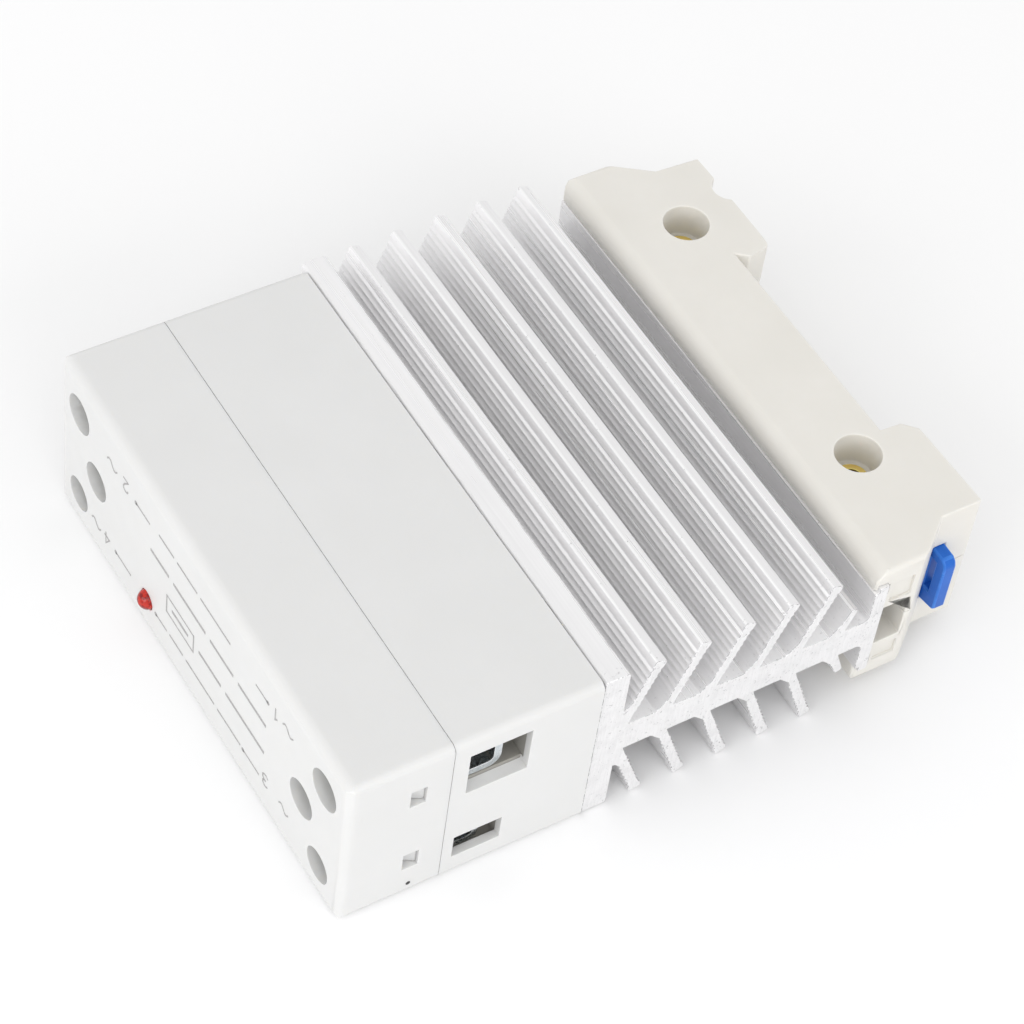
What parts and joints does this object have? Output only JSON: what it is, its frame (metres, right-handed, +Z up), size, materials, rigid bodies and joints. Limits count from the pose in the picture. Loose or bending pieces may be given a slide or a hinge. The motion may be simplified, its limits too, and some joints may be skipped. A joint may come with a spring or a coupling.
{
  "type": "solid state relay",
  "caption": "Slim solid state relay screwed to a finned heat sink, with a two-part rail clip, a sprung latch and screw clamps for its wires.",
  "frame": {"origin": "centre of the bounding box's base, with the part lying on its side", "axes": "+X from the relay's front face towards the rail, +Y along the heat sink's extrusion away from the latch end, +Z up through the sides"},
  "size_m": [0.101, 0.081, 0.0285],
  "materials": {
    "white_plastic": "fine matt moulded surface",
    "ivory_plastic": "matt moulded surface",
    "blue_plastic": "satin moulded surface",
    "led_red": "clear red epoxy",
    "extruded_aluminium": "bright mill finish with saw-cut ends",
    "plated_steel": "bright zinc plate",
    "spring_steel": "plain wire",
    "brass": "bright",
    "tinned_copper": "tin plate over copper",
    "base_aluminium": "satin",
    "thermal_grey": "soft matt",
    "ceramic_white": "fired alumina",
    "silicon_grey": "matt",
    "board_green": "solder resist",
    "package_black": "moulded epoxy",
    "capacitor_yellow": "boxed film",
    "capacitor_sleeve": "shrunk sleeve",
    "varistor_blue": "dipped coating",
    "resistor_tan": "lacquer"
  },
  "bodies": {
    "body": {"front_cover": "white_plastic", "rear_housing": "white_plastic", "module_base_plate": "base_aluminium", "thermal_pad": "thermal_grey", "heat_sink": "extruded_aluminium", "ceramic_substrate": "ceramic_white", "thyristor_dies": "silicon_grey", "gate_pins": "tinned_copper", "control_board": "board_green", "triac_driver": "package_black", "input_rectifier": "package_black", "snubber_capacitor": "capacitor_yellow", "smoothing_capacitor": "capacitor_sleeve", "varistor": "varistor_blue", "resistors": "resistor_tan", "indicator_led": "led_red", "led_leads": "tinned_copper", "output_busbar_1": "tinned_copper", "output_busbar_2": "tinned_copper", "input_strip_3": "tinned_copper", "input_strip_4": "tinned_copper", "module_screws": "plated_steel", "clip_upper_half": "ivory_plastic", "clip_lower_half": "ivory_plastic", "clip_rivets": "brass", "latch_spring": "spring_steel"},
    "latch": {"rail_latch": "blue_plastic"},
    "cage_1": {"clamp_cage_1": "plated_steel"},
    "screw_1": {"terminal_screw_1": "plated_steel"},
    "cage_2": {"clamp_cage_2": "plated_steel"},
    "screw_2": {"terminal_screw_2": "plated_steel"},
    "cage_3": {"clamp_cage_3": "plated_steel"},
    "screw_3": {"terminal_screw_3": "plated_steel"},
    "cage_4": {"clamp_cage_4": "plated_steel"},
    "screw_4": {"terminal_screw_4": "plated_steel"}
  },
  "joints": [
    {"name": "latch_slide", "type": "slide", "parent": "body", "child": "latch", "axis": [0, -1, 0], "range_m": [0, 0.0032], "stiffness_N_per_m": 400, "springref_m": -0.002, "deforming": ["latch_spring"]},
    {"name": "screw_1_turn", "type": "hinge", "parent": "body", "child": "screw_1", "pos_m": [-0.03715, -0.0349, 0.02215], "axis": [1, 0, 0], "range_deg": [0, 1800]},
    {"name": "cage_1_slide", "type": "slide", "parent": "body", "child": "cage_1", "axis": [-1, 0, 0], "range_m": [0, 0.0035]},
    {"name": "screw_2_turn", "type": "hinge", "parent": "body", "child": "screw_2", "pos_m": [-0.03715, 0.033, 0.02215], "axis": [1, 0, 0], "range_deg": [0, 1800]},
    {"name": "cage_2_slide", "type": "slide", "parent": "body", "child": "cage_2", "axis": [-1, 0, 0], "range_m": [0, 0.0035]},
    {"name": "screw_3_turn", "type": "hinge", "parent": "body", "child": "screw_3", "pos_m": [-0.03715, -0.0349, 0.00575], "axis": [1, 0, 0], "range_deg": [0, 2160]},
    {"name": "cage_3_slide", "type": "slide", "parent": "body", "child": "cage_3", "axis": [-1, 0, 0], "range_m": [0, 0.003]},
    {"name": "screw_4_turn", "type": "hinge", "parent": "body", "child": "screw_4", "pos_m": [-0.03715, 0.033, 0.00575], "axis": [1, 0, 0], "range_deg": [0, 2160]},
    {"name": "cage_4_slide", "type": "slide", "parent": "body", "child": "cage_4", "axis": [-1, 0, 0], "range_m": [0, 0.003]}
  ],
  "couplings": [
    {"joint": "screw_1_turn", "follows": "cage_1_slide", "rad_per_m": 8976},
    {"joint": "screw_2_turn", "follows": "cage_2_slide", "rad_per_m": 8976},
    {"joint": "screw_3_turn", "follows": "cage_3_slide", "rad_per_m": 12566},
    {"joint": "screw_4_turn", "follows": "cage_4_slide", "rad_per_m": 12566}
  ]
}
